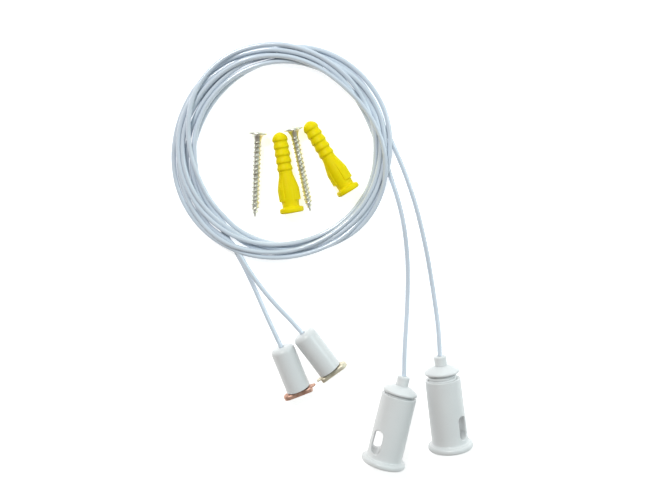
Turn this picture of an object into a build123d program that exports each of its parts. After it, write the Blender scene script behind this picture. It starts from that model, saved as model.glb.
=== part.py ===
from build123d import *
import os
from math import asin, atan2, cos, hypot, pi, radians, sin, tan

# Cable set for a window blind: two coated steel cables, each with a screw-down tensioner at its lower end and a
# swivelling rail anchor at its upper end, and two screws with their wall plugs. The set lies on a level surface
# at z = 0, with the spare cable wound into one flat coil. Millimetres, +Z up, origin at the middle of the base of
# the box around everything but the cables.
#
# Every turned piece is drawn about its own axis, +Z, and is then laid down by lying_frame. Its +Z runs from its
# wide end to its narrow end, so a piece that lies on two rims dips along +Z. Its +Y is up once it lies down.

# Cable
CABLE_R = 1.1
STRAIGHT_SHARE = 0.45          # of the shorter run beside a corner, taken up by the corner's arc

# Tensioner housing
HOUSING_H = 34.0
FLANGE_R = 10.7
FLANGE_T = 3.0
FLANGE_EDGE = 1.3
BODY_FOOT_R = 8.6
BODY_MOUTH_R = 8.35
BODY_COVE = 0.8
MOUTH_EDGE = 0.4
MOUTH_CHAMFER = 0.4
BORE_R = 6.75
CHAMBER_FLOOR = 12.5           # the base is solid below this, apart from the screw hole and the window
SCREW_HOLE_R = 2.2
HOLE_CHAMFER = 0.8
WINDOW_W = 4.0
WINDOW_L = 11.2
WINDOW_FOOT = 5.4
WINDOW_OFFSET = 4.6            # from the axis to the middle of the slot, which is a chord of the body
WINDOW_EDGE = 0.4

# Tension cap, with heights above the plane where its shank meets its head
RUNNING_GAP = 0.08
SHANK_R = BORE_R - RUNNING_GAP
SHANK_L = 13.0
BEVEL_H = 0.9
BEVEL_R = 7.8
CAP_R = 8.35
CAP_RIM_T = 1.2
CAP_RIM_EDGE = 0.45
CAP_H = 4.6
CAP_FLAT_R = 3.1
DOME_BULGE = 0.35
POCKET_R = 4.8
POCKET_CEILING = -4.0

# Cable terminal, held in the cap by a washer and a pressed collar
TERMINAL_R = 3.0
TERMINAL_L = 4.5
TERMINAL_EDGE = 0.8
STEM_R = 1.95
STEM_FOOT = -8.5
END_FLOAT = 0.05
WASHER_R = 4.5
WASHER_T = 1.0
COLLAR_R = 3.4
COLLAR_T = 2.2
PRESS = 0.02

# Upper anchor
CUP_R = 5.75
CUP_L = 21.9
CUP_WALL = 1.2
CUP_ROOF = 2.0
CUP_SHOULDER = 2.2
CUP_EDGE = 0.3
CABLE_HOLE_R = 1.3
FERRULE_R = 2.4
FERRULE_L = 7.5
FERRULE_EDGE = 0.6
PLUG_FOOT = 0.6
PLUG_TOP = 3.4
SPACER_R = 2.6
PLATE_TOP = -0.6
PLATE_T = 2.5
PLATE_W = 6.0
PLATE_REACH = 8.0              # from the pivot to the rounded end
PLATE_BAR_END = 6.3            # from the pivot to the end of the thick bar, where the thin tab starts
TAB_REACH = 8.4
TAB_W = 3.0
TAB_T = 0.9
TAB_OVERLAP = 0.5              # of the tab into the bar
END_FLAT = 0.05                # left straight at each side of a rounded end
PIVOT_R = 1.55
RIVET_R = 2.35
RIVET_H = 0.73

# Wood screw, 4 x 40
SCREW_L = 40.0
HEAD_R = 4.4
HEAD_T = 1.8
HEAD_EDGE_T = 0.6
HEAD_DOME_R = 2.4
HEAD_DOME_RISE = 0.15
NECK_R = 2.9
NECK_END = 4.8
CORE_R = 1.4
CREST_R = 2.0
PITCH = 2.0
THREAD_START = 5.8
RIDGES = 14
RIDGE_FOOT = 0.6               # half-width of a ridge at the core
TIP_CONE = 5.0
CROSS_L = 4.4
CROSS_W = 0.9
CROSS_DEPTH = 1.2

# Wall plug
WALL_PLUG_L = 37.0
WALL_FLANGE_R = 5.5
WALL_FLANGE_T = 2.5
WALL_FLANGE_EDGE = 0.9
WALL_FOOT_R = 3.8
WALL_BODY_R = 4.1
WALL_NECK_R = 3.1
WALL_NECK_AT = 18.3
RIB_START = 20.0
RIBS = 5
RIB_PITCH = 3.35
RIB_LEAN = 0.35                # of the pitch, from a rib's crest to the root towards the nose
RIB_R = 3.6
RIB_ROOT_R = 3.15
NOSE_R = 2.2
NOSE_EDGE = 1.2
FIN_R = 4.9
FIN_W = 7.0
FIN_FOOT = 5.4
FIN_TAPER = 11.2               # height where the fins start to narrow towards the neck
FIN_END = 17.5
PLUG_BORE_R = 1.7
PLUG_BORE_L = 30.0

# Coil of spare cable: an oval ring with rounded edges
COIL_OUTER = (52.5, 49.6)
COIL_OUTER_CENTRE = (-37.4, 66.5)
COIL_INNER = (39.2, 39.4)
COIL_INNER_CENTRE = (-36.4, 65.4)
COIL_H = 6.6
COIL_EDGE = 2.0

# Where each piece lies: the point below its axis at its wide end, and its heading in degrees from +Y towards +X.
TENSIONERS = {
    "a": {"spot": (8.9, -80.6), "heading": 13.5, "gap": 0.3, "window_side": 1, "window_lean": 13.8},
    "b": {"spot": (41.6, -73.5), "heading": -7.3, "gap": 2.0, "window_side": -1, "window_lean": 8.6},
}
ANCHORS = {
    "a": {"spot": (-31.0, -44.4), "heading": -21.0, "tab_side": -1},
    "b": {"spot": (-16.0, -35.2), "heading": -36.0, "tab_side": 1},
}
SCREWS = {"1": {"spot": (-48.5, 76.4), "heading": 183.1}, "2": {"spot": (-32.9, 78.3), "heading": 168.5}}
WALL_PLUGS = {
    "1": {"spot": (-33.3, 39.1), "heading": -9.2, "roll": 0},
    "2": {"spot": (-7.2, 48.6), "heading": -31.2, "roll": -20},
}

# Routes of the loose cable. A lower tail starts at its terminal and ends in the coil; an upper tail starts in the
# coil and ends at the ferrule in its anchor. The ends at the fittings are added by lower_route and upper_route.
LOWER_TAILS = {
    "a": [
        (19.2, -28.8, 6.4), (19.9, -19.2, 4.5), (20.7, -9.5, 2.6), (21.2, 1.9, 1.3), (21.1, 13.4, 1.1),
        (20.1, 24.8, 1.1), (18.4, 35.6, 1.1), (15.7, 45.8, 1.1), (12.4, 55.2, 1.1), (9.8, 63.0, 1.1),
    ],
    "b": [
        (35.7, -18.6, 5.6), (34.6, -7.8, 3.0), (32.8, 4.5, 1.4), (30.5, 17.5, 1.1), (27.4, 31.0, 1.1),
        (23.8, 44.0, 1.1), (19.2, 56.8, 1.1), (14.6, 67.4, 1.1), (10.6, 75.6, 1.1),
    ],
}
UPPER_TAILS = {
    "a": [
        (-61.8, 24.8, 1.1), (-57.6, 17.0, 1.1), (-53.6, 8.8, 1.4), (-49.9, 0.5, 2.4), (-46.0, -8.6, 3.9),
        (-41.8, -17.8, 5.3),
    ],
    "b": [
        (-60.6, 25.0, 3.4), (-57.3, 18.6, 3.4), (-53.7, 12.4, 3.4), (-49.8, 6.6, 3.5), (-44.9, 0.1, 3.9),
        (-39.4, -6.1, 4.6), (-33.2, -12.5, 5.3),
    ],
}


def turned(*points):
    """Solid of revolution about Z from (radius, height) points, in order around the profile."""
    return revolve(Plane.XZ * make_face(Polyline(*points, close=True)), Axis.Z)


def rim(solid, radius, height):
    """The circular edges of a turned solid at one radius and height."""
    return [
        edge
        for edge in solid.edges().filter_by(GeomType.CIRCLE)
        if abs(edge.radius - radius) < 0.001 and abs(edge.arc_center.Z - height) < 0.001
    ]


def lying_frame(spot, heading, wide, narrow):
    """Frame of a turned piece that lies on two rims, each (distance along the axis, radius, edge rounding)."""
    reach = narrow[0] - wide[0]
    step = (wide[1] - wide[2]) - (narrow[1] - narrow[2])
    dip = atan2(step, reach) + asin((wide[2] - narrow[2]) / hypot(reach, step))
    height = (wide[1] - wide[2]) * cos(dip) + wide[2] + wide[0] * sin(dip)
    turn = radians(heading)
    axis = Vector(sin(turn) * cos(dip), cos(turn) * cos(dip), -sin(dip))
    return Plane(origin=(*spot, height), x_dir=(-cos(turn), sin(turn), 0), z_dir=axis)


def cap_seat(gap):
    """Height of the plane where the cap's shank meets its head, above the foot of the housing."""
    return HOUSING_H + gap


def tensioner_frame(place):
    wide = (FLANGE_T - FLANGE_EDGE, FLANGE_R, FLANGE_EDGE)
    rim_top = cap_seat(place["gap"]) + BEVEL_H + CAP_RIM_T
    return lying_frame(place["spot"], place["heading"], wide, (rim_top - CAP_RIM_EDGE, CAP_R, CAP_RIM_EDGE))


def anchor_frame(place):
    return lying_frame(place["spot"], place["heading"], (CUP_EDGE, CUP_R, 0), (CUP_L - CUP_SHOULDER, CUP_R, 0))


def screw_frame(place):
    last_crest = THREAD_START + (RIDGES - 1) * PITCH
    return lying_frame(place["spot"], place["heading"], (HEAD_T, HEAD_R, 0), (last_crest, CREST_R, 0))


def wall_plug_frame(place):
    wide = (WALL_FLANGE_T - WALL_FLANGE_EDGE, WALL_FLANGE_R, WALL_FLANGE_EDGE)
    last_rib = RIB_START + (RIBS - 1) * RIB_PITCH
    return lying_frame(place["spot"], place["heading"], wide, (last_rib, RIB_R, 0))


def window_cut(side, lean):
    """Oblong slot through the housing along a chord, on one side of the axis and leaning out by lean degrees."""
    slope = radians(lean)
    along = Vector(side * sin(slope), cos(slope), 0)
    outward = Vector(side * cos(slope), -sin(slope), 0)
    middle = outward * WINDOW_OFFSET + Vector(0, 0, WINDOW_FOOT + WINDOW_L / 2)
    slot = Plane(origin=middle, x_dir=outward, z_dir=along) * SlotOverall(WINDOW_L, WINDOW_W, rotation=90)
    return extrude(slot, amount=2 * FLANGE_R, both=True)


def window_edges(body):
    """Edges where the window breaks out of the housing's outer face."""
    return [
        edge
        for edge in body.edges()
        if edge.geom_type == GeomType.BSPLINE
        and all(hypot((edge @ part).X, (edge @ part).Y) > BODY_MOUTH_R for part in (0, 0.5, 1))
    ]


def housing(side, lean):
    body = turned(
        (0, 0),
        (FLANGE_R, 0),
        (FLANGE_R, FLANGE_T),
        (BODY_FOOT_R, FLANGE_T),
        (BODY_MOUTH_R, HOUSING_H),
        (0, HOUSING_H),
    )
    body = fillet(rim(body, FLANGE_R, 0) + rim(body, FLANGE_R, FLANGE_T), FLANGE_EDGE)
    body = fillet(rim(body, BODY_FOOT_R, FLANGE_T), BODY_COVE)
    body = fillet(rim(body, BODY_MOUTH_R, HOUSING_H), MOUTH_EDGE)
    bore = turned(
        (0, -1),
        (SCREW_HOLE_R, -1),
        (SCREW_HOLE_R, CHAMBER_FLOOR - HOLE_CHAMFER),
        (SCREW_HOLE_R + HOLE_CHAMFER, CHAMBER_FLOOR),
        (BORE_R, CHAMBER_FLOOR),
        (BORE_R, HOUSING_H - MOUTH_CHAMFER),
        (BORE_R + MOUTH_CHAMFER, HOUSING_H),
        (BORE_R + MOUTH_CHAMFER, HOUSING_H + 1),
        (0, HOUSING_H + 1),
    )
    body = body - bore - window_cut(side, lean)
    return fillet(window_edges(body), WINDOW_EDGE)


def tension_cap(seat):
    """Domed head on a shank that screws into the housing, with a pocket for the cable terminal's washer."""
    rim_foot = (CAP_R, BEVEL_H)
    rim_top = (CAP_R, BEVEL_H + CAP_RIM_T)
    dome_top = (CAP_FLAT_R, CAP_H)
    dome_mid = ((CAP_R + CAP_FLAT_R) / 2 + DOME_BULGE / 2, (rim_top[1] + CAP_H) / 2 + DOME_BULGE)
    hole_r = STEM_R + RUNNING_GAP
    outline = Polyline(
        dome_top,
        (hole_r, CAP_H),
        (hole_r, POCKET_CEILING),
        (POCKET_R, POCKET_CEILING),
        (POCKET_R, -SHANK_L),
        (SHANK_R, -SHANK_L),
        (SHANK_R, 0),
        (BEVEL_R, BEVEL_H),
        rim_foot,
        rim_top,
    )
    outline += ThreePointArc(rim_top, dome_mid, dome_top)
    cap = revolve(Plane.XZ * make_face(outline), Axis.Z)
    cap = fillet(rim(cap, *rim_foot) + rim(cap, *rim_top), CAP_RIM_EDGE)
    return Pos(0, 0, seat) * cap


def cable_terminal(seat):
    """Collar that the cable is swaged into, on a stem that goes down through the cap."""
    foot = CAP_H + END_FLOAT
    top = foot + TERMINAL_L
    body = turned(
        (0, STEM_FOOT), (STEM_R, STEM_FOOT), (STEM_R, foot), (TERMINAL_R, foot), (TERMINAL_R, top), (0, top)
    )
    return Pos(0, 0, seat) * fillet(rim(body, TERMINAL_R, top), TERMINAL_EDGE)


def disc_ring(outer, inner, low, high):
    return turned((inner, low), (outer, low), (outer, high), (inner, high))


def thrust_washer(seat):
    high = POCKET_CEILING - END_FLOAT
    return Pos(0, 0, seat) * disc_ring(WASHER_R, STEM_R + PRESS, high - WASHER_T, high)


def retaining_collar(seat):
    high = POCKET_CEILING - END_FLOAT - WASHER_T
    return Pos(0, 0, seat) * disc_ring(COLLAR_R, STEM_R - PRESS, high - COLLAR_T, high)


def anchor_cup():
    cup = turned(
        (CABLE_HOLE_R, CUP_L),
        (CABLE_HOLE_R, CUP_L - CUP_ROOF),
        (CUP_R - CUP_WALL, CUP_L - CUP_ROOF),
        (CUP_R - CUP_WALL, 0),
        (CUP_R, 0),
        (CUP_R, CUP_L),
    )
    cup = fillet(rim(cup, CUP_R, CUP_L), CUP_SHOULDER)
    return fillet(rim(cup, CUP_R, 0), CUP_EDGE)


def cable_ferrule():
    top = CUP_L - CUP_ROOF
    ferrule = turned((0, top - FERRULE_L), (FERRULE_R, top - FERRULE_L), (FERRULE_R, top), (0, top))
    return fillet(rim(ferrule, FERRULE_R, top - FERRULE_L), FERRULE_EDGE)


def anchor_stud():
    """Plug pressed into the cup, with a pivot below it that is riveted flush into the plate."""
    rivet_foot = PLATE_TOP - PLATE_T + RUNNING_GAP / 4
    return turned(
        (0, PLUG_TOP),
        (CUP_R - CUP_WALL + PRESS, PLUG_TOP),
        (CUP_R - CUP_WALL + PRESS, PLUG_FOOT),
        (SPACER_R, PLUG_FOOT),
        (SPACER_R, PLATE_TOP + END_FLOAT),
        (PIVOT_R, PLATE_TOP + END_FLOAT),
        (PIVOT_R, rivet_foot + RIVET_H),
        (RIVET_R, rivet_foot),
        (0, rivet_foot),
    )


def anchor_plate(side):
    """Bar with one rounded end, and at the other end a thin tab, on the side that side names."""
    end_r = PLATE_W / 2
    bar_length = PLATE_REACH + PLATE_BAR_END
    bar = Pos((PLATE_BAR_END - PLATE_REACH) / 2, 0) * Rectangle(bar_length, PLATE_W)
    bar = fillet(bar.vertices().group_by(Axis.X)[0], end_r - END_FLAT)
    tab_foot = PLATE_BAR_END - TAB_OVERLAP
    tab = Rectangle(TAB_REACH - tab_foot, TAB_W, align=(Align.MIN, Align.CENTER))
    tab = Pos(tab_foot, 0) * fillet(tab.vertices().group_by(Axis.X)[-1], TAB_W / 2 - END_FLAT)
    low = PLATE_TOP - PLATE_T
    plate = extrude(Pos(0, 0, low) * bar, PLATE_T) + extrude(Pos(0, 0, PLATE_TOP - TAB_T) * tab, TAB_T)
    hole_r = PIVOT_R + RUNNING_GAP
    plate -= turned(
        (0, low - 1),
        (RIVET_R + RUNNING_GAP, low - 1),
        (RIVET_R + RUNNING_GAP, low),
        (hole_r, low + RIVET_H),
        (hole_r, 1),
        (0, 1),
    )
    return plate if side > 0 else Rot(0, 0, 180) * plate


def screw():
    """Screw along +Z from its head to its tip, with a ring for each turn of its thread."""
    profile = [(0, 0), (HEAD_DOME_R, HEAD_DOME_RISE), (HEAD_R, HEAD_T - HEAD_EDGE_T), (HEAD_R, HEAD_T)]
    profile += [(NECK_R, HEAD_T), (CREST_R, (HEAD_T + NECK_END) / 2), (CORE_R, NECK_END)]
    for turn in range(RIDGES):
        crest = THREAD_START + turn * PITCH
        profile += [(CORE_R, crest - RIDGE_FOOT), (CREST_R, crest), (CORE_R, crest + RIDGE_FOOT)]
    profile += [(CORE_R, SCREW_L - TIP_CONE), (0, SCREW_L)]
    body = turned(*profile)
    for angle in (0, 90):
        slot = Box(CROSS_L, CROSS_W, CROSS_DEPTH, align=(Align.CENTER, Align.CENTER, Align.MIN))
        body -= Rot(0, 0, angle) * slot
    return body


def wall_plug():
    """Ribbed plug along +Z from its flange to its nose, with two broad side fins and a bore."""
    profile = [(0, 0), (WALL_FLANGE_R, 0), (WALL_FLANGE_R, WALL_FLANGE_T), (WALL_FOOT_R, WALL_FLANGE_T)]
    profile += [(WALL_BODY_R, FIN_TAPER), (WALL_NECK_R, WALL_NECK_AT)]
    for rib in range(RIBS):
        crest = RIB_START + rib * RIB_PITCH
        profile += [(RIB_R, crest), (RIB_ROOT_R, crest + RIB_PITCH * RIB_LEAN)]
    profile += [(NOSE_R, WALL_PLUG_L), (0, WALL_PLUG_L)]
    body = turned(*profile)
    body = fillet(rim(body, WALL_FLANGE_R, 0) + rim(body, WALL_FLANGE_R, WALL_FLANGE_T), WALL_FLANGE_EDGE)
    body = fillet(rim(body, NOSE_R, WALL_PLUG_L), NOSE_EDGE)
    fins = turned((0, FIN_FOOT), (FIN_R, FIN_FOOT), (FIN_R, FIN_TAPER), (WALL_NECK_R, FIN_END), (0, FIN_END))
    body += fins & Box(3 * FIN_R, FIN_W, 2 * WALL_PLUG_L)
    return body - Cylinder(PLUG_BORE_R, PLUG_BORE_L, align=(Align.CENTER, Align.CENTER, Align.MIN))


def coil():
    ring = Pos(*COIL_OUTER_CENTRE) * Ellipse(*COIL_OUTER) - Pos(*COIL_INNER_CENTRE) * Ellipse(*COIL_INNER)
    body = extrude(ring, COIL_H)
    return fillet(body.edges().group_by(Axis.Z)[0] + body.edges().group_by(Axis.Z)[-1], COIL_EDGE)


def axis_point(frame, along):
    """Point on a fitting's axis, in the set's frame."""
    return tuple(frame.origin + frame.z_dir * along)


def lower_route(side):
    place = TENSIONERS[side]
    top = cap_seat(place["gap"]) + CAP_H + END_FLOAT + TERMINAL_L
    return [axis_point(tensioner_frame(place), top)] + LOWER_TAILS[side]


def upper_route(side):
    return UPPER_TAILS[side] + [axis_point(anchor_frame(ANCHORS[side]), CUP_L - CUP_ROOF)]


def corner_radii(points):
    """Arc radius at each corner of a route, from the shorter run beside it and half the turn."""
    radii = []
    for before, corner, after in zip(points, points[1:], points[2:]):
        run_in = Vector(corner) - Vector(before)
        run_out = Vector(after) - Vector(corner)
        half_turn = radians(run_in.get_angle(run_out)) / 2
        radii.append(STRAIGHT_SHARE * min(run_in.length, run_out.length) / tan(half_turn))
    return radii


def tube(name, points):
    """Cable along a route of straight runs joined by arcs, with its figures printed."""
    radii = corner_radii(points)
    path = FilletPolyline(*points, radius=radii)
    start = Plane(origin=path @ 0, z_dir=path % 0)
    body = sweep(start * Circle(CABLE_R), path=path)
    exact = path.length * pi * CABLE_R**2
    print(f"{name}: length {path.length:.1f}, smallest radius {min(radii):.0f}, volume {body.volume / exact:.4f}")
    print("   radii", " ".join(f"{radius:.0f}" for radius in radii))
    return body


def tensioner_nodes(side):
    place = TENSIONERS[side]
    seat = cap_seat(place["gap"])
    pieces = {
        "tensioner_housing": housing(place["window_side"], place["window_lean"]),
        "tension_cap": tension_cap(seat),
        "cable_terminal": cable_terminal(seat),
        "thrust_washer": thrust_washer(seat),
        "retaining_collar": retaining_collar(seat),
    }
    frame = tensioner_frame(place)
    return {f"{name}_{side}": frame.location * piece for name, piece in pieces.items()}


def anchor_nodes(side):
    place = ANCHORS[side]
    pieces = {
        "anchor_cup": anchor_cup(),
        "cable_ferrule": cable_ferrule(),
        "anchor_stud": anchor_stud(),
        "anchor_plate": anchor_plate(place["tab_side"]),
    }
    frame = anchor_frame(place)
    return {f"{name}_{side}": frame.location * piece for name, piece in pieces.items()}


def cable_nodes(side):
    lower = f"cable_tail_lower_{side}"
    upper = f"cable_tail_upper_{side}"
    return {lower: tube(lower, lower_route(side)), upper: tube(upper, upper_route(side))}


def main():
    nodes = {"cable_coil": coil()}
    for side in ("a", "b"):
        nodes.update(tensioner_nodes(side))
        nodes.update(anchor_nodes(side))
        nodes.update(cable_nodes(side))
    for name, place in SCREWS.items():
        nodes[f"screw_{name}"] = screw_frame(place).location * screw()
    for name, place in WALL_PLUGS.items():
        nodes[f"wall_plug_{name}"] = wall_plug_frame(place).location * Rot(0, 0, place["roll"]) * wall_plug()
    os.makedirs("parts", exist_ok=True)
    for name, shape in nodes.items():
        export_step(shape, f"parts/{name}.step")


main()
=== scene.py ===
import bpy
import bmesh
import numpy as np
from math import asin, atan2, cos, degrees, hypot, pi, radians, sin, tau
from mathutils import Matrix, Vector


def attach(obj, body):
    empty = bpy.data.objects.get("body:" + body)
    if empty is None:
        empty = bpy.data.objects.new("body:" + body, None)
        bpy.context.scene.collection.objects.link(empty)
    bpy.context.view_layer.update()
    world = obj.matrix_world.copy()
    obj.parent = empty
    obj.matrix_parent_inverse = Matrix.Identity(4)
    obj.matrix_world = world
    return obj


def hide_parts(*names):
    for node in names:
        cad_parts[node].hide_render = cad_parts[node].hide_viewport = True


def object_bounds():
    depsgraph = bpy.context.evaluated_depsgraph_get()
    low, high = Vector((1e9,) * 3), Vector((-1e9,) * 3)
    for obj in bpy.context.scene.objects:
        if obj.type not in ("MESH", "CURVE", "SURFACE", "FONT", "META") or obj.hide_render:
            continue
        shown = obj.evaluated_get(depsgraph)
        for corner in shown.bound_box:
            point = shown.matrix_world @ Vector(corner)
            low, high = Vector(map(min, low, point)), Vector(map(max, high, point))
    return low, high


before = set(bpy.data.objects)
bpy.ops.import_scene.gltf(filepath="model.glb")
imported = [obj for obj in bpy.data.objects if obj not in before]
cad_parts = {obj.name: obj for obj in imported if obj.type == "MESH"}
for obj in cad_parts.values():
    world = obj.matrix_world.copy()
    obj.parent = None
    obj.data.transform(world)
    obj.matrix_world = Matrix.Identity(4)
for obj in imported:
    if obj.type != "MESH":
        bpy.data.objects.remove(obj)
CAD_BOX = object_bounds()

MM = 0.001
SIDES = ("a", "b")

CAMERA_SPOT = (-0.0345, 0.0680, 0.3340)
CAMERA_TARGET = (-0.017345, 0.0210, 0.0)
CAMERA_LENS = 39.6
SENSOR_WIDTH = 36.0

# Surroundings. The world is cool towards COOL_SIDE and warm on the opposite side.
COOL_SIDE = (0.45, 0.75, 0.48)
WARM = (0.28, 0.17, 0.11)
NEUTRAL = (0.62, 0.60, 0.58)
COOL = (0.88, 1.0, 1.0)
WORLD_STRENGTH = 0.48
FLOOR_REACH = 3.0
FLOOR_DROP = 0.00002
FLOOR_GLOW = 0.60
LIGHT_TARGET = (-0.02, 0.02, 0)
LIGHTS = {
    "key": {"spot": (-0.30, 0.55, 0.70), "size": 0.26, "power": 4.5, "colour": (1, 1, 1)},
    "fill": {"spot": (0.55, 0.25, 0.45), "size": 0.30, "power": 1.3, "colour": (0.80, 0.97, 1.0)},
}

# Cables. Each runs from the top of its tensioner's nipple, through the coil, into its anchor cup.
CABLE_RADIUS = 0.0011
CABLE_DIAMETER = 2 * CABLE_RADIUS
NIPPLE_TOPS = {"a": (0.019019, -0.038450, 0.007818), "b": (0.035875, -0.028811, 0.007844)}
CUP_FERRULES = {"a": (-0.038132, -0.025822, 0.00575), "b": (-0.027697, -0.019101, 0.00575)}
LOWER_TAILS = {
    "a": [
        (0.0192, -0.0288, 0.0064), (0.0199, -0.0192, 0.0045), (0.0207, -0.0095, 0.0026),
        (0.0212, 0.0019, 0.0013), (0.0211, 0.0134, 0.0011), (0.0201, 0.0248, 0.0011),
        (0.0184, 0.0356, 0.0011), (0.0157, 0.0458, 0.0011), (0.0124, 0.0552, 0.0011),
        (0.0098, 0.0630, 0.0011),
    ],
    "b": [
        (0.0357, -0.0186, 0.0056), (0.0346, -0.0078, 0.0030), (0.0328, 0.0045, 0.0014),
        (0.0305, 0.0175, 0.0011), (0.0274, 0.0310, 0.0011), (0.0238, 0.0440, 0.0011),
        (0.0192, 0.0568, 0.0011), (0.0146, 0.0674, 0.0011), (0.0106, 0.0756, 0.0011),
    ],
}
UPPER_TAILS = {
    "a": [
        (-0.0618, 0.0248, 0.0011), (-0.0576, 0.0170, 0.0011), (-0.0536, 0.0088, 0.0014),
        (-0.0499, 0.0005, 0.0024), (-0.0460, -0.0086, 0.0039), (-0.0418, -0.0178, 0.0053),
    ],
    "b": [
        (-0.0606, 0.0250, 0.0034), (-0.0573, 0.0186, 0.0034), (-0.0537, 0.0124, 0.0034),
        (-0.0498, 0.0066, 0.0035), (-0.0449, 0.0001, 0.0039), (-0.0394, -0.0061, 0.0046),
        (-0.0332, -0.0125, 0.0053),
    ],
}

# The coil. Each lane is where a cable would lie if it were alone: angle round the coil in degrees, radius and
# height in millimetres. The turns are then pushed apart until they lie beside and on each other.
COIL_CENTRE = (-0.0369, 0.0657)
COIL_STEP = 7.5
COIL_TOP = 5.5
PULL_ROUNDS = 500
SETTLE_ROUNDS = 80
PULL = (0.06, 0.04)             # share of the way back to its lane, in radius and height, per round
SINK = 0.02                     # millimetres per round
PULL_SMOOTHING = 0.125
SETTLE_SMOOTHING = 0.015
PUSH = 0.6                      # share of an overlap that is cleared per round
LOWER_POINTS_ON_COIL = 4
UPPER_POINTS_ON_COIL = 3
FIRST_ANGLES = {"a": 7.5, "b": 22.5}
LAST_ANGLE = 1305.0
LANES = {
    "a": [
        (0, 45.7, 1.1), (20, 43.9, 1.2), (35, 42.0, 2.0), (50, 41.2, 3.3), (70, 41.6, 3.3),
        (90, 41.5, 3.6), (110, 41.0, 3.6), (140, 41.1, 3.3), (165, 40.9, 3.0), (185, 41.6, 2.2),
        (205, 41.3, 1.4), (225, 42.9, 1.1), (245, 45.6, 1.1), (262, 46.5, 1.1), (285, 45.8, 1.1),
        (298, 46.0, 1.3), (308, 47.3, 2.0), (320, 48.7, 3.0), (338, 49.1, 3.6), (350, 48.2, 4.4),
        (360, 46.6, 5.3), (370, 44.7, 5.5), (380, 42.8, 5.3), (390, 41.1, 5.3), (400, 40.0, 5.3),
        (411, 39.6, 5.2), (425, 40.8, 5.2), (440, 42.6, 5.4), (455, 44.3, 5.5), (475, 44.8, 4.4),
        (495, 45.5, 3.8), (515, 46.5, 3.3), (540, 46.0, 4.6), (565, 44.9, 4.8), (585, 43.4, 4.4),
        (600, 42.7, 3.0), (615, 42.3, 1.1), (625, 43.0, 1.1), (640, 44.7, 1.3), (660, 44.9, 3.0),
        (690, 45.2, 3.0), (710, 45.6, 2.4), (725, 46.2, 3.2), (740, 47.1, 3.8), (760, 47.8, 3.8),
        (780, 46.8, 3.6), (800, 44.9, 3.0), (820, 44.0, 1.6), (850, 44.1, 1.1), (870, 44.5, 1.1),
        (885, 46.6, 1.1), (900, 48.4, 1.1), (915, 49.2, 1.3), (935, 48.4, 2.6), (960, 47.0, 4.0),
        (985, 45.3, 4.6), (1005, 43.0, 4.6), (1020, 42.0, 4.2), (1050, 43.2, 3.4), (1070, 43.8, 3.2),
        (1085, 44.6, 3.4), (1100, 45.5, 2.2), (1125, 45.6, 1.1), (1150, 44.0, 1.1), (1175, 42.3, 1.1),
        (1200, 39.8, 1.1), (1220, 38.9, 1.1), (1240, 39.4, 1.1), (1260, 40.8, 1.1), (1280, 42.9, 1.1),
        (1300, 45.4, 1.1), (1312, 47.0, 1.1),
    ],
    "b": [
        (15, 48.0, 1.1), (30, 49.0, 1.1), (45, 49.0, 1.1), (65, 47.8, 1.1), (90, 46.3, 1.1),
        (110, 46.8, 1.6), (130, 47.6, 2.6), (142, 48.5, 2.6), (155, 49.4, 2.2), (165, 49.4, 2.8),
        (180, 47.8, 3.6), (195, 46.5, 3.2), (210, 45.8, 3.2), (230, 44.5, 4.4), (250, 42.6, 4.0),
        (270, 41.2, 3.3), (290, 40.4, 2.4), (310, 40.8, 2.0), (330, 41.7, 2.0), (350, 42.7, 1.5),
        (365, 43.3, 1.1), (380, 43.4, 1.1), (395, 44.0, 2.0), (410, 45.0, 4.0), (425, 46.5, 4.8),
        (440, 47.2, 5.0), (455, 47.5, 5.3), (465, 48.8, 4.4), (475, 50.3, 3.3), (487, 50.9, 3.0),
        (500, 50.0, 4.4), (510, 48.3, 5.5), (520, 45.4, 5.5), (530, 42.7, 5.5), (540, 40.8, 5.0),
        (550, 39.6, 3.6), (565, 39.2, 2.8), (578, 40.6, 1.6), (590, 41.6, 1.1), (610, 41.5, 1.1),
        (630, 42.8, 1.1), (650, 43.3, 1.1), (690, 44.4, 1.1), (710, 44.8, 1.1), (725, 44.0, 1.1),
        (735, 41.1, 1.1), (745, 40.1, 1.1), (757, 40.4, 2.6), (770, 42.3, 3.4), (785, 44.2, 4.0),
        (810, 46.3, 4.2), (830, 47.4, 3.2), (850, 49.0, 1.3), (868, 48.5, 1.1), (885, 48.8, 1.1),
        (900, 50.2, 1.1), (915, 51.5, 1.1), (930, 51.8, 1.5), (945, 51.2, 3.0), (960, 50.2, 5.5),
        (970, 49.2, 5.0), (985, 47.4, 4.0), (1005, 46.3, 3.6), (1030, 46.5, 2.2), (1050, 46.9, 1.5),
        (1070, 47.6, 1.5), (1085, 48.8, 2.0), (1100, 50.0, 2.0), (1115, 50.4, 2.0), (1140, 49.9, 2.4),
        (1155, 48.9, 2.6), (1170, 47.1, 2.8), (1185, 45.0, 2.6), (1200, 43.6, 2.2), (1220, 42.9, 2.0),
        (1240, 43.0, 2.0), (1260, 44.0, 1.8), (1280, 45.8, 2.2), (1300, 46.9, 3.3), (1312, 46.9, 3.4),
    ],
}

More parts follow.
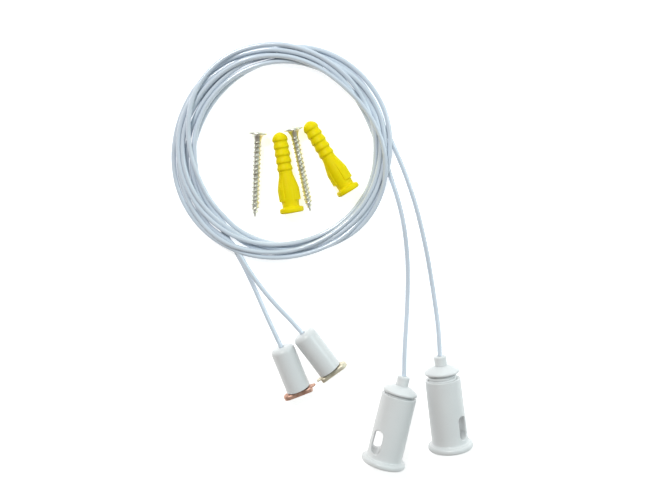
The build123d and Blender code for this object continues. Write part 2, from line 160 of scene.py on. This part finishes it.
# Fittings, in millimetres. Each entry starts with the spot below the piece's axis at its foot, and its
# heading from +Y towards +X. A tensioner adds the height of its cap's seat, an anchor the side that its
# plate's tab is on, and a wall plug its roll. A rim that a piece lies on is given as its distance along the
# axis, its radius and the rounding of its edge.
TENSIONERS = {"a": ((8.9, -80.6), 13.5, 34.3), "b": ((41.6, -73.5), -7.3, 36.0)}
ANCHORS = {"a": ((-31.0, -44.4), -21.0, -1), "b": ((-16.0, -35.2), -36.0, 1)}
SCREWS = {"screw_1": ((-48.5, 76.4), 183.1), "screw_2": ((-32.9, 78.3), 168.5)}
WALL_PLUGS = {"wall_plug_1": ((-33.3, 39.1), -9.2, 0), "wall_plug_2": ((-7.2, 48.6), -31.2, -20)}
PITCH = 2.0

# Anchor plate, with heights along its cup's axis and lengths from its pivot
CUP_RIMS = ((0.3, 5.75, 0), (19.7, 5.75, 0))
PLATE_FOOT = -3.1
PLATE_TOP = -0.6
PLATE_REACH = 8.0
PLATE_BAR_END = 6.3
PLATE_HALF_W = 3.0
PLATE_CORNER = 1.2
PLATE_FOOT_EDGE = 0.5
PLATE_TOP_EDGE = 1.05
PLATE_HOLE_R = 1.63
PLATE_SINK_R = 2.43
PLATE_SINK = 0.73
TAB_START = 5.2
TAB_REACH = 8.4
TAB_HALF_W = 1.5
TAB_FOOT = -1.5
TAB_CORNER = 1.4
TAB_EDGE = 0.42
HALVINGS = 32                   # of the stretch in which a bar's outline is looked for

# Tension cap, with heights above the plane where its shank meets its head
HOUSING_RIM = (1.7, 10.7, 1.3)
CAP_R = 8.35
CAP_RIM_AT = 1.65
CAP_RIM_EDGE = 0.45
SHANK_R = 6.67
SHANK_L = 13.0
SHANK_END_R = 6.3
SHANK_CHAMFER = 0.3
SHANK_TOP = -0.2
SHANK_STEPS = 78
THREAD_DEPTH = 0.55
THREAD_TOP = -0.8
THREAD_FADE = 0.8
CREST_WIDTH = 1.9
CAP_HOLE_R = 2.03
CAP_HOLE_TOP = 4.5
POCKET_R = 4.8
POCKET_CEILING = -4.0
CAP_OUTLINE = [
    (6.3, 0.0), (7.75, 0.88), (7.95, 0.92), (8.2, 1.02), (8.33, 1.2), (8.35, 1.4), (8.35, 1.65),
    (8.3, 1.85), (8.17, 2.01), (7.98, 2.12), (7.4, 2.5), (6.7, 2.95), (5.9, 3.4), (5.0, 3.86),
    (4.1, 4.26), (3.5, 4.48), (3.1, 4.57), (2.75, 4.6), (2.2, 4.6),
]

# Wood screw
SCREW_L = 40.0
SCREW_REST_AT = 31.8
HEAD_R = 4.4
HEAD_T = 1.8
DOME_RISE = 1.15
DOME_POWER = 3.2
DOME_SHARES = (0.15, 0.3, 0.45, 0.6, 0.7, 0.8, 0.88, 0.94, 0.98)
HEAD_EDGE = [(4.4, 1.3), (4.4, 1.5), (4.3, 1.7), (4.05, 1.8), (3.0, 1.85)]
NECK = [(2.75, 2.1), (2.3, 2.9), (1.95, 3.7), (1.7, 4.4)]
# Thread-flank value given to the head and neck, which the zinc material turns into a faint painted shade.
NECK_RELIEF = 0.3
SCREW_CORE_R = 1.55
SCREW_CREST_R = 2.0
THREAD_START = 4.9
THREAD_RISE = 1.5
SCREW_STEPS = 420
TIP_CONE = 5.0
CREST_TAPER = 0.7
CORE_TAPER = 0.85
CROSS_L = 4.4
CROSS_W = 0.9
CROSS_DEPTH = 1.2

# Wall plug, with heights above its foot
WALL_PLUG_L = 37.0
PLUG_BORE_R = 1.7
PLUG_BORE_L = 30.0
PLUG_FOOT_RIM = (1.6, 5.5, 0.9)
PLUG_FOOT = [
    (PLUG_BORE_R, 0.3), (2.0, 0), (4.6, 0), (5.0, 0.07), (5.3, 0.3), (5.47, 0.6), (5.5, 0.9), (5.5, 1.6),
    (5.45, 2.0), (5.2, 2.35), (4.8, 2.5), (4.2, 2.6), (3.9, 2.9),
]
BODY_START = 2.9
BODY_L = 15.6
BODY_STEPS = 61
BODY_R = 3.85
BULGE = 0.25
BULGE_L = 7
WAIST = 0.95
WAIST_START = 10.5
WAIST_L = 8
WAIST_POWER = 1.2
FIN_R = 4.95
FIN_HALF_ANGLE = 1.03
FIN_RISE = 0.3
FIN_SIDE = 0.25
FIN_TAPER_AT = 11.0
FIN_TAPER_POWER = 1.5
FIN_SPAN = (5.4, 17.5)
RIB_START = 20.0
RIB_PITCH = 3.35
RIB_FALL = 0.72
RIB_STEPS = 84
RIB_LEAD = 0.45
RIBS = 5
RIB_R = 3.6
RIB_ROOT_R = 3.15
NOSE_SHARES = (0.2, 0.35, 0.5, 0.62, 0.73, 0.82, 0.9, 0.95, 0.985)
NOSE_FULLNESS = 2.1
NOSE_POWER = 0.62


def lane_at(knots, angles):
    """Radius and height of a lane at these angles: a smooth curve through its knots."""
    table = np.array(knots, float)
    spots = table[:, 0]
    low = np.clip(np.searchsorted(spots, angles, side="right") - 1, 0, len(spots) - 2)
    span = spots[low + 1] - spots[low]
    t = (angles - spots[low]) / span
    columns = []
    for values in (table[:, 1], table[:, 2]):
        slopes = np.gradient(values, spots)
        columns.append(
            (2 * t**3 - 3 * t**2 + 1) * values[low]
            + (t**3 - 2 * t**2 + t) * span * slopes[low]
            + (3 * t**2 - 2 * t**3) * values[low + 1]
            + (t**3 - t**2) * span * slopes[low + 1]
        )
    return np.stack(columns, 1)


def round_coil(point):
    """Angle in degrees, and radius and height in millimetres, of a point near the coil."""
    x = point[0] - COIL_CENTRE[0]
    y = point[1] - COIL_CENTRE[1]
    return degrees(atan2(y, x)) % 360, hypot(x, y) / MM, point[2] / MM


def crossings(start, end):
    """What a stretch between two (angle, radius, height) points fills, at each of the coil's stations."""
    turn = (end[0] - start[0] + 180) % 360 - 180
    found = []
    for station in range(round(360 / COIL_STEP)):
        share = ((station * COIL_STEP - start[0] + 180) % 360 - 180) / turn
        if 0 <= share <= 1:
            found.append((station, [start[k] + share * (end[k] - start[k]) for k in (1, 2)]))
    return found


def lay_lanes(stations):
    """Every strand's (radius, height) at every station of the coil, as the lanes and the tails run.

    Returns the values, which of them each station holds, the run of values that each cable's turns have, the
    angles of that run, and how many values are free to move. The tails' values come last and stay in place.
    """
    values = []
    members = [[] for _ in range(stations)]
    spans = {}
    angles = {}
    for side in SIDES:
        angles[side] = np.arange(FIRST_ANGLES[side], LAST_ANGLE + COIL_STEP / 2, COIL_STEP)
        spans[side] = (len(values), len(values) + len(angles[side]))
        for angle, value in zip(angles[side], lane_at(LANES[side], angles[side])):
            members[round(angle / COIL_STEP) % stations].append(len(values))
            values.append(value)
    loose = len(values)
    for side in SIDES:
        first, last = spans[side][0], spans[side][1] - 1
        route = [round_coil(point) for point in LOWER_TAILS[side][-LOWER_POINTS_ON_COIL:]]
        route.append((angles[side][0] % 360, *values[first]))
        away = [(angles[side][-1] % 360, *values[last])]
        away += [round_coil(point) for point in UPPER_TAILS[side][:UPPER_POINTS_ON_COIL]]
        for stretch in list(zip(route, route[1:])) + list(zip(away, away[1:])):
            for station, value in crossings(*stretch):
                members[station].append(len(values))
                values.append(value)
    return np.array(values, float), members, spans, angles, loose


def push_apart(values, members, spans, loose):
    """Moves the loose strands off each other: first pulled towards their lanes, then settling."""
    lanes = values[:loose].copy()
    width = max(len(found) for found in members)
    slots = np.full((len(members), width), -1)
    for station, found in enumerate(members):
        slots[station, : len(found)] = found
    filled = slots >= 0
    pairs = filled[:, :, None] & filled[:, None, :] & ~np.eye(width, dtype=bool)
    moves = filled & (slots < loose)
    share = np.where(moves[:, :, None], np.where(moves[:, None, :], 0.5, 1.0), 0.0) * pairs
    diameter = CABLE_DIAMETER / MM
    for step in range(PULL_ROUNDS + SETTLE_ROUNDS):
        pulling = step < PULL_ROUNDS
        smoothing = PULL_SMOOTHING if pulling else SETTLE_SMOOTHING
        if pulling:
            values[:loose] += (lanes - values[:loose]) * PULL
            values[:loose, 1] -= SINK
        for start, end in spans.values():
            run = values[start:end]
            run[1:-1] += smoothing * (run[:-2] + run[2:] - 2 * run[1:-1])
        spot = values[slots]
        apart = spot[:, :, None, :] - spot[:, None, :, :]
        distance = np.linalg.norm(apart, axis=3) + 1e-9
        overlap = np.maximum(0, diameter - distance) * share * PUSH
        push = (apart * (overlap / distance)[..., None]).sum(2)
        np.add.at(values, slots[moves], push[moves])
        values[:loose, 1] = np.clip(values[:loose, 1], diameter / 2, COIL_TOP)


def wind_coil():
    """Lays every turn of both cables, and returns each cable's coil points, in metres."""
    values, members, spans, angles, loose = lay_lanes(round(360 / COIL_STEP))
    push_apart(values, members, spans, loose)
    points = {}
    for side in SIDES:
        run = values[slice(*spans[side])]
        turn = np.radians(angles[side])
        x = COIL_CENTRE[0] + run[:, 0] * MM * np.cos(turn)
        y = COIL_CENTRE[1] + run[:, 0] * MM * np.sin(turn)
        points[side] = list(zip(x, y, run[:, 1] * MM))
    return points


def cable(side, coil_points, material):
    """One cable: a smooth round cord from its nipple to its cup."""
    route = [NIPPLE_TOPS[side], *LOWER_TAILS[side], *coil_points, *UPPER_TAILS[side], CUP_FERRULES[side]]
    curve = bpy.data.curves.new(f"cable_{side}", "CURVE")
    curve.dimensions = "3D"
    spline = curve.splines.new("NURBS")
    spline.points.add(len(route) - 1)
    for point, spot in zip(spline.points, route):
        point.co = (*spot, 1.0)
    spline.order_u = 3
    spline.use_endpoint_u = True
    curve.resolution_u = 4
    curve.bevel_depth = CABLE_RADIUS
    curve.bevel_resolution = 6
    curve.use_fill_caps = True
    piece = bpy.data.objects.new(f"cable_{side}", curve)
    bpy.context.scene.collection.objects.link(piece)
    curve.materials.append(material)
    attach(piece, "root")
    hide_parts(f"cable_tail_lower_{side}", "cable_coil", f"cable_tail_upper_{side}")
    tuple(NIPPLE_TOPS[side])


def node_material(name):
    """An empty node material and its Principled shader."""
    material = bpy.data.materials.new(name)
    material.use_nodes = True
    shader = material.node_tree.nodes["Principled BSDF"]
    return material, shader


def noise(tree, scale, detail=4.0, stretch=(1, 1, 1)):
    """Noise in the object's own space, as one value per point."""
    place = tree.nodes.new("ShaderNodeTexCoord")
    mapping = tree.nodes.new("ShaderNodeMapping")
    mapping.inputs["Scale"].default_value = stretch
    texture = tree.nodes.new("ShaderNodeTexNoise")
    texture.inputs["Scale"].default_value = scale
    texture.inputs["Detail"].default_value = detail
    tree.links.new(place.outputs["Object"], mapping.inputs["Vector"])
    tree.links.new(mapping.outputs["Vector"], texture.inputs["Vector"])
    return texture.outputs["Fac"]


def ramp(tree, value, *stops):
    """Colours along a value, from (position, colour) stops."""
    node = tree.nodes.new("ShaderNodeValToRGB")
    node.color_ramp.elements[0].position = stops[0][0]
    node.color_ramp.elements[1].position = stops[-1][0]
    for position, _ in stops[1:-1]:
        node.color_ramp.elements.new(position)
    for element, (_, colour) in zip(node.color_ramp.elements, stops):
        element.color = (*colour, 1)
    tree.links.new(value, node.inputs["Fac"])
    return node.outputs["Color"]


def spread(tree, value, low, high):
    """A value between 0 and 1 spread over another range."""
    node = tree.nodes.new("ShaderNodeMapRange")
    node.inputs["To Min"].default_value = low
    node.inputs["To Max"].default_value = high
    tree.links.new(value, node.inputs["Value"])
    return node.outputs["Result"]


def bumps(tree, shader, depth, *values):
    """Bump from the sum of some noises, with depth in metres."""
    total = values[0]
    for value in values[1:]:
        add = tree.nodes.new("ShaderNodeMath")
        tree.links.new(total, add.inputs[0])
        tree.links.new(value, add.inputs[1])
        total = add.outputs[0]
    node = tree.nodes.new("ShaderNodeBump")
    node.inputs["Distance"].default_value = depth
    tree.links.new(total, node.inputs["Height"])
    tree.links.new(node.outputs["Normal"], shader.inputs["Normal"])


def moulded_white():
    """White plastic with a fine grain."""
    material, shader = node_material("white_plastic")
    tree = material.node_tree
    cloud = noise(tree, 90)
    grain = noise(tree, 2600, 2.0)
    colour = ramp(tree, cloud, (0.3, (0.715, 0.726, 0.728)), (0.7, (0.735, 0.746, 0.748)))
    tree.links.new(colour, shader.inputs["Base Color"])
    tree.links.new(spread(tree, grain, 0.24, 0.34), shader.inputs["Roughness"])
    bumps(tree, shader, 0.000003, grain)
    return material


def cable_coat():
    """Glossy pale coat of the cables."""
    material, shader = node_material("cable_sheath")
    tree = material.node_tree
    cloud = noise(tree, 60)
    grain = noise(tree, 1800, 3.0)
    colour = ramp(tree, cloud, (0.3, (0.61, 0.68, 0.76)), (0.7, (0.67, 0.74, 0.83)))
    tree.links.new(colour, shader.inputs["Base Color"])
    tree.links.new(spread(tree, cloud, 0.16, 0.28), shader.inputs["Roughness"])
    shader.inputs["Coat Weight"].default_value = 1.0
    shader.inputs["Coat Roughness"].default_value = 0.14
    bumps(tree, shader, 0.00001, grain)
    return material


def plated(name, dark, bright, tint, roughness, painted_crest_shade=False):
    """Plated steel: patches of tint over the plate, drawing marks and pits, and on a thread painted shade
    that darkens the crests.
    """
    material, shader = node_material(name)
    tree = material.node_tree
    cloud = noise(tree, 260, 5.0)
    marks = noise(tree, 1500, 3.0, (1, 1, 6))
    colour = ramp(tree, cloud, (0.34, dark), (0.48, bright), (0.62, bright), (0.72, tint))
    if painted_crest_shade:
        # Painted shade: the colour darkens from a thread's root to its crest, standing in for the shade on
        # the flanks.
        relief = tree.nodes.new("ShaderNodeAttribute")
        relief.attribute_name = "relief"
        shades = (0.0, (1, 1, 1)), (0.5, (0.92, 0.91, 0.86)), (1.0, (0.56, 0.55, 0.50))
        shade = ramp(tree, relief.outputs["Fac"], *shades)
        mix = tree.nodes.new("ShaderNodeMix")
        mix.data_type = "RGBA"
        mix.blend_type = "MULTIPLY"
        mix.inputs["Factor"].default_value = 1.0
        tree.links.new(colour, mix.inputs["A"])
        tree.links.new(shade, mix.inputs["B"])
        colour = mix.outputs["Result"]
    tree.links.new(colour, shader.inputs["Base Color"])
    tree.links.new(spread(tree, marks, roughness - 0.08, roughness + 0.12), shader.inputs["Roughness"])
    shader.inputs["Metallic"].default_value = 0.85
    bumps(tree, shader, 0.00002, cloud, marks)
    return material


def yellow_nylon():
    """Dull, slightly translucent yellow."""
    material, shader = node_material("yellow_nylon")
    tree = material.node_tree
    cloud = noise(tree, 110)
    grain = noise(tree, 2200, 2.0)
    colour = ramp(tree, cloud, (0.3, (0.84, 0.66, 0.0)), (0.7, (0.88, 0.74, 0.0)))
    tree.links.new(colour, shader.inputs["Base Color"])
    tree.links.new(spread(tree, grain, 0.40, 0.58), shader.inputs["Roughness"])
    shader.inputs["Specular IOR Level"].default_value = 0.12
    shader.inputs["Subsurface Weight"].default_value = 0.2
    shader.inputs["Subsurface Radius"].default_value = (0.0015, 0.0010, 0.0001)
    shader.inputs["Subsurface Scale"].default_value = 0.5
    bumps(tree, shader, 0.00001, grain)
    return material


def lying_frame(spot, heading, wide, narrow, rise=0.0):
    """Frame of a turned piece that lies on two rims, with its axis +Z, raised by rise along that axis."""
    (low, low_r, low_edge), (high, high_r, high_edge) = wide, narrow
    reach = high - low
    step = (low_r - low_edge) - (high_r - high_edge)
    dip = atan2(step, reach) + asin((low_edge - high_edge) / hypot(reach, step))
    height = (low_r - low_edge) * cos(dip) + low_edge + low * sin(dip)
    turn = radians(heading)
    axis = Vector((sin(turn) * cos(dip), cos(turn) * cos(dip), -sin(dip)))
    left = Vector((-cos(turn), sin(turn), 0))
    origin = Vector((*spot, height)) + axis * rise
    return Matrix.Translation(origin * MM) @ Matrix((left, axis.cross(left), axis)).transposed().to_4x4()


def lathe(name, outline, segments=96, shape=None, relief=None):
    """Piece turned about Z from (radius, height) points.

    shape(radius, height, angle) may change each radius, and relief(height, angle) is kept at each vertex
    for the material.
    """
    data = bpy.data.meshes.new(name)
    work = bmesh.new()
    mark = work.verts.layers.float.new("relief")
    rows = []
    for radius, height in outline:
        if radius == 0:
            rows.append([work.verts.new((0, 0, height * MM))] * segments)
            continue
        row = []
        for step in range(segments):
            angle = tau * step / segments
            r = (shape(radius, height, angle) if shape else radius) * MM
            vertex = work.verts.new((r * cos(angle), r * sin(angle), height * MM))
            vertex[mark] = relief(height, angle) if relief else 0.0
            row.append(vertex)
        rows.append(row)
    for lower, upper in zip(rows, rows[1:]):
        for step in range(segments):
            after = (step + 1) % segments
            corners = []
            for vertex in (lower[step], lower[after], upper[after], upper[step]):
                if vertex not in corners:
                    corners.append(vertex)
            work.faces.new(corners)
    bmesh.ops.recalc_face_normals(work, faces=work.faces)
    work.to_mesh(data)
    work.free()
    data.shade_smooth()
    piece = bpy.data.objects.new(name, data)
    bpy.context.scene.collection.objects.link(piece)
    return piece


def cut_box(piece, sizes, centre):
    """Takes a box out of a piece, in the piece's own millimetres."""
    data = bpy.data.meshes.new("cutter")
    work = bmesh.new()
    bmesh.ops.create_cube(work, size=1)
    bmesh.ops.scale(work, verts=work.verts, vec=Vector(sizes) * MM)
    bmesh.ops.translate(work, verts=work.verts, vec=Vector(centre) * MM)
    work.to_mesh(data)
    work.free()
    cutter = bpy.data.objects.new("cutter", data)
    bpy.context.scene.collection.objects.link(cutter)
    change = piece.modifiers.new("cut", "BOOLEAN")
    change.operation = "DIFFERENCE"
    change.solver = "EXACT"
    change.object = cutter
    bpy.context.view_layer.update()
    result = bpy.data.meshes.new_from_object(piece.evaluated_get(bpy.context.evaluated_depsgraph_get()))
    piece.modifiers.clear()
    piece.data = result
    bpy.data.objects.remove(cutter)


def crisp(piece, degrees_kept=35):
    """Sharp edges wherever two faces meet at more than this angle."""
    work = bmesh.new()
    work.from_mesh(piece.data)
    for edge in work.edges:
        sharp = len(edge.link_faces) == 2 and edge.calc_face_angle(0) > radians(degrees_kept)
        edge.smooth = not sharp
    work.to_mesh(piece.data)
    work.free()


def install(piece, place, body, node, material):
    """Puts a piece in place of its CAD node."""
    piece.data.materials.clear()
    piece.data.materials.append(material)
    piece.matrix_world = place
    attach(piece, body)
    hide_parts(node)


def thread_wave(height, angle):
    """How far up a thread's flank a point is, from 0 at the root to 1 at the crest."""
    phase = (height / PITCH + angle / tau) % 1
    return 1 - abs(2 * phase - 1)


def bar_rim(low_end, high_end, half_width, low_corner, high_corner, reach):
    """Shape for lathe() that makes a bar: a radius of reach is on its outline, less is that much inside."""
    middle = (low_end + high_end) / 2
    half_length = (high_end - low_end) / 2

    def depth(x, y):
        corner = low_corner if x < 0 else high_corner
        over_x = abs(x - middle) - (half_length - corner)
        over_y = abs(y) - (half_width - corner)
        return corner - hypot(max(over_x, 0), max(over_y, 0)) - min(max(over_x, over_y), 0)

    def shape(radius, height, angle):
        if radius < reach / 2:
            return radius
        near, far = 0, 2 * max(-low_end, high_end)
        for _ in range(HALVINGS):
            guess = (near + far) / 2
            if depth(guess * cos(angle), guess * sin(angle)) > reach - radius:
                near = guess
            else:
                far = guess
        return near
    return shape


def rounded_side(reach, low, high, low_edge, high_edge, steps=6):
    """Points up the side of a bar whose edges are rounded by low_edge and high_edge."""
    turns = [step / steps * pi / 2 for step in range(steps + 1)]
    lower = [(reach - low_edge * (1 - sin(turn)), low + low_edge * (1 - cos(turn))) for turn in turns]
    upper = [(reach - high_edge * (1 - sin(turn)), high - high_edge * (1 - cos(turn))) for turn in turns]
    return lower + upper[::-1]


def anchor_plate(side, material):
    """Plate of one anchor: a rounded bar with a countersunk pivot hole, and a thin tab at one end."""
    outline = [(PLATE_HOLE_R, PLATE_TOP), (PLATE_HOLE_R, PLATE_FOOT + PLATE_SINK), (PLATE_SINK_R, PLATE_FOOT)]
    outline += rounded_side(PLATE_REACH, PLATE_FOOT, PLATE_TOP, PLATE_FOOT_EDGE, PLATE_TOP_EDGE)
    outline += [(PLATE_HOLE_R, PLATE_TOP)]
    shape = bar_rim(-PLATE_REACH, PLATE_BAR_END, PLATE_HALF_W, PLATE_HALF_W, PLATE_CORNER, PLATE_REACH)
    piece = lathe(f"plate_{side}", outline, segments=144, shape=shape)
    half_tab = (TAB_REACH - TAB_START) / 2
    tab_outline = rounded_side(TAB_REACH, TAB_FOOT, PLATE_TOP, TAB_EDGE, TAB_EDGE)
    tab_outline = [(0, TAB_FOOT)] + tab_outline + [(0, PLATE_TOP)]
    tab_shape = bar_rim(-half_tab, half_tab, TAB_HALF_W, TAB_EDGE, TAB_CORNER, TAB_REACH)
    tab = lathe(f"tab_{side}", tab_outline, segments=72, shape=tab_shape)
    work = bmesh.new()
    work.from_mesh(tab.data)
    bmesh.ops.translate(work, verts=work.verts, vec=(MM * (TAB_START + half_tab), 0, 0))
    work.from_mesh(piece.data)
    work.to_mesh(piece.data)
    work.free()
    bpy.data.objects.remove(tab)
    crisp(piece, degrees_kept=40)
    spot, heading, tab_side = ANCHORS[side]
    place = lying_frame(spot, heading, *CUP_RIMS) @ Matrix.Rotation(0 if tab_side > 0 else pi, 4, "Z")
    install(piece, place, f"plate_{side}", f"anchor_plate_{side}", material)


def tension_cap(side, material):
    """The cap of one tensioner, with its screw thread."""
    def thread(radius, height, angle):
        if radius < SHANK_R - 0.01 or height > THREAD_TOP:
            return radius
        wave = min(1, CREST_WIDTH * thread_wave(height, -angle))
        fade = min(1, (THREAD_TOP - height) / THREAD_FADE, (height + SHANK_L) / THREAD_FADE)
        return radius - THREAD_DEPTH * (1 - wave) * max(0, fade)

    outline = [(CAP_HOLE_R, CAP_HOLE_TOP), (CAP_HOLE_R, POCKET_CEILING), (POCKET_R, POCKET_CEILING)]
    outline += [(POCKET_R, -SHANK_L), (SHANK_END_R, -SHANK_L)]
    low = SHANK_CHAMFER - SHANK_L
    rise = (SHANK_TOP - low) / SHANK_STEPS
    outline += [(SHANK_R, low + rise * step) for step in range(SHANK_STEPS + 1)]
    outline += CAP_OUTLINE + [(CAP_HOLE_R, CAP_HOLE_TOP)]
    piece = lathe(f"cap_{side}", outline, shape=thread)
    crisp(piece)
    spot, heading, seat = TENSIONERS[side]
    place = lying_frame(spot, heading, HOUSING_RIM, (seat + CAP_RIM_AT, CAP_R, CAP_RIM_EDGE), seat)
    install(piece, place, f"cap_{side}", f"tension_cap_{side}", material)


def screw(name, material):
    """A wood screw: domed head with a cross recess, flared neck, rolled thread and a point."""
    def thread(radius, height, angle):
        if height < THREAD_START or radius > SCREW_CREST_R:
            return radius
        wave = thread_wave(height, -angle)
        to_tip = min(1, (SCREW_L - height) / TIP_CONE)
        fade = min(1, (height - THREAD_START) / THREAD_RISE)
        return radius + (SCREW_CREST_R - SCREW_CORE_R) * max(0, 2 * wave - 1) * fade * to_tip**CREST_TAPER

    # Values for the zinc material's painted shade: the height up a thread's flank, and NECK_RELIEF before the
    # thread starts.
    def relief(height, angle):
        return NECK_RELIEF if height < THREAD_START else thread_wave(height, -angle)

    outline = [(0, 0)]
    outline += [(HEAD_R * share, DOME_RISE * share**DOME_POWER) for share in DOME_SHARES]
    outline += HEAD_EDGE + NECK
    for step in range(SCREW_STEPS):
        height = THREAD_START + (SCREW_L - THREAD_START) * step / SCREW_STEPS
        taper = min(1, (SCREW_L - height) / TIP_CONE)
        outline.append((SCREW_CORE_R * taper**CORE_TAPER, height))
    outline.append((0, SCREW_L))
    piece = lathe(name, outline, segments=40, shape=thread, relief=relief)
    cut_box(piece, (CROSS_L, CROSS_W, 2 * CROSS_DEPTH), (0, 0, 0))
    cut_box(piece, (CROSS_W, CROSS_L, 2 * CROSS_DEPTH), (0, 0, 0))
    crisp(piece, degrees_kept=50)
    spot, heading = SCREWS[name]
    place = lying_frame(spot, heading, (HEAD_T, HEAD_R, 0), (SCREW_REST_AT, SCREW_CREST_R, 0))
    install(piece, place, name, name, material)


def rib_wave(height):
    """How far out the ribbed stretch is, from 0 at a root to 1 at a crest: a slow fall, then a quick rise."""
    phase = (height - RIB_START) / RIB_PITCH % 1
    if phase < RIB_FALL:
        return 0.5 + 0.5 * cos(pi * phase / RIB_FALL)
    return sin((phase - RIB_FALL) / (1 - RIB_FALL) * pi / 2) ** 2


def plug_outside(nose):
    """Outside of a wall plug from its foot to its tip, with a nose from that height on."""
    outside = list(PLUG_FOOT)
    for step in range(1, BODY_STEPS):
        height = BODY_START + BODY_L * step / BODY_STEPS
        bulge = BULGE * sin(min(1, (height - BODY_START) / BULGE_L) * pi / 2)
        waist = WAIST * max(0, (height - WAIST_START) / WAIST_L) ** WAIST_POWER
        outside.append((BODY_R + bulge - waist, height))
    first = RIB_START - RIB_LEAD * RIB_PITCH
    for step in range(RIB_STEPS + 1):
        height = first + (nose - first) * step / RIB_STEPS
        outside.append((RIB_ROOT_R + (RIB_R - RIB_ROOT_R) * rib_wave(height), height))
    for share in NOSE_SHARES:
        radius = RIB_R * (1 - share**NOSE_FULLNESS) ** NOSE_POWER
        outside.append((radius, nose + (WALL_PLUG_L - nose) * share))
    return outside + [(0, WALL_PLUG_L)]


def wall_plug(name, material):
    """A wall plug: flange, two fins, waisted body, soft ribs, blunt nose and bore."""
    def fins(radius, height, angle):
        if radius < PLUG_BORE_R + 0.01 or not FIN_SPAN[0] < height < FIN_SPAN[1]:
            return radius
        across = asin(abs(sin(angle)))
        if across > FIN_HALF_ANGLE:
            return radius
        high = min(1, (height - FIN_SPAN[0]) / FIN_RISE)
        late = max(0, (height - FIN_TAPER_AT) / (FIN_SPAN[1] - FIN_TAPER_AT))
        swell = FIN_SIDE + (1 - FIN_SIDE) * cos(across / FIN_HALF_ANGLE * pi / 2)
        return radius + max(0, FIN_R - radius) * high * (1 - late) ** FIN_TAPER_POWER * swell

    nose = RIB_START + (RIBS - 1) * RIB_PITCH
    bore = [(0, PLUG_BORE_L), (PLUG_BORE_R, PLUG_BORE_L)]
    piece = lathe(name, bore + plug_outside(nose), segments=128, shape=fins)
    crisp(piece, degrees_kept=40)
    spot, heading, roll = WALL_PLUGS[name]
    place = lying_frame(spot, heading, PLUG_FOOT_RIM, (nose, RIB_R, 0))
    place = place @ Matrix.Rotation(radians(roll), 4, "Z")
    install(piece, place, name, name, material)


def camera():
    """The camera, with the room's +Y up."""
    data = bpy.data.cameras.new("camera")
    data.lens = CAMERA_LENS
    data.sensor_width = SENSOR_WIDTH
    data.clip_start = 0.01
    piece = bpy.data.objects.new("camera", data)
    bpy.context.scene.collection.objects.link(piece)
    look = (Vector(CAMERA_TARGET) - Vector(CAMERA_SPOT)).normalized()
    right = look.cross(Vector((0, 1, 0))).normalized()
    up = right.cross(look)
    turn = Matrix((right, up, -look)).transposed()
    piece.matrix_world = Matrix.Translation(CAMERA_SPOT) @ turn.to_4x4()
    bpy.context.scene.camera = piece


def floor():
    """A faintly glowing white sheet under the set."""
    material, shader = node_material("floor_white")
    shader.inputs["Base Color"].default_value = (0.9, 0.9, 0.9, 1)
    shader.inputs["Roughness"].default_value = 0.8
    shader.inputs["Emission Color"].default_value = (1, 1, 1, 1)
    shader.inputs["Emission Strength"].default_value = FLOOR_GLOW
    corners = [(x * FLOOR_REACH, y * FLOOR_REACH, 0) for x, y in ((-1, -1), (1, -1), (1, 1), (-1, 1))]
    data = bpy.data.meshes.new("floor")
    data.from_pydata(corners, [], [(0, 1, 2, 3)])
    data.materials.append(material)
    piece = bpy.data.objects.new("floor", data)
    piece.location.z = CAD_BOX[0].z - FLOOR_DROP
    bpy.context.scene.collection.objects.link(piece)


def studio_light():
    """Surroundings: a cool light side towards the coil, a dim warm side towards the tensioners."""
    world = bpy.data.worlds.new("studio")
    world.use_nodes = True
    tree = world.node_tree
    place = tree.nodes.new("ShaderNodeTexCoord")
    side = tree.nodes.new("ShaderNodeVectorMath")
    side.operation = "DOT_PRODUCT"
    side.inputs[1].default_value = COOL_SIDE
    tree.links.new(place.outputs["Generated"], side.inputs[0])
    span = tree.nodes.new("ShaderNodeMapRange")
    span.inputs["From Min"].default_value = -1.0
    tree.links.new(side.outputs["Value"], span.inputs["Value"])
    colour = ramp(tree, span.outputs["Result"], (0.12, WARM), (0.5, NEUTRAL), (0.9, COOL))
    tree.links.new(colour, tree.nodes["Background"].inputs["Color"])
    tree.nodes["Background"].inputs["Strength"].default_value = WORLD_STRENGTH
    bpy.context.scene.world = world


def soft_light(name, spot, size, power, colour):
    """A round light that faces the set."""
    data = bpy.data.lights.new(name, "AREA")
    data.shape = "DISK"
    data.size = size
    data.energy = power
    data.color = colour
    piece = bpy.data.objects.new(name, data)
    piece.location = spot
    piece.rotation_mode = "QUATERNION"
    piece.rotation_quaternion = (Vector(LIGHT_TARGET) - Vector(spot)).to_track_quat("-Z", "Y")
    bpy.context.scene.collection.objects.link(piece)


camera()
bpy.context.scene.view_settings.view_transform = "Standard"
studio_light()
floor()
for name, light in LIGHTS.items():
    soft_light(name, **light)

white = moulded_white()
sheath = cable_coat()
plates = {
    "a": plated("plate_a", (0.54, 0.30, 0.22), (0.70, 0.43, 0.33), (0.78, 0.58, 0.47), 0.50),
    "b": plated("plate_b", (0.66, 0.59, 0.45), (0.82, 0.75, 0.60), (0.88, 0.83, 0.69), 0.50),
}
zinc = plated("zinc", (0.64, 0.62, 0.53), (0.88, 0.88, 0.80), (0.84, 0.74, 0.36), 0.30, painted_crest_shade=True)
steel = plated("steel", (0.30, 0.30, 0.31), (0.44, 0.44, 0.45), (0.50, 0.50, 0.50), 0.36)
nylon = yellow_nylon()

coil_points = wind_coil()
for side in SIDES:
    cable(side, coil_points[side], sheath)
    tension_cap(side, white)
    anchor_plate(side, plates[side])
for name in SCREWS:
    screw(name, zinc)
for name in WALL_PLUGS:
    wall_plug(name, nylon)

finishes = {"tensioner_housing": white, "cable_terminal": white, "anchor_cup": white}
for name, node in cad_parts.items():
    finish = next((material for start, material in finishes.items() if name.startswith(start)), steel)
    node.data.materials.clear()
    node.data.materials.append(finish)
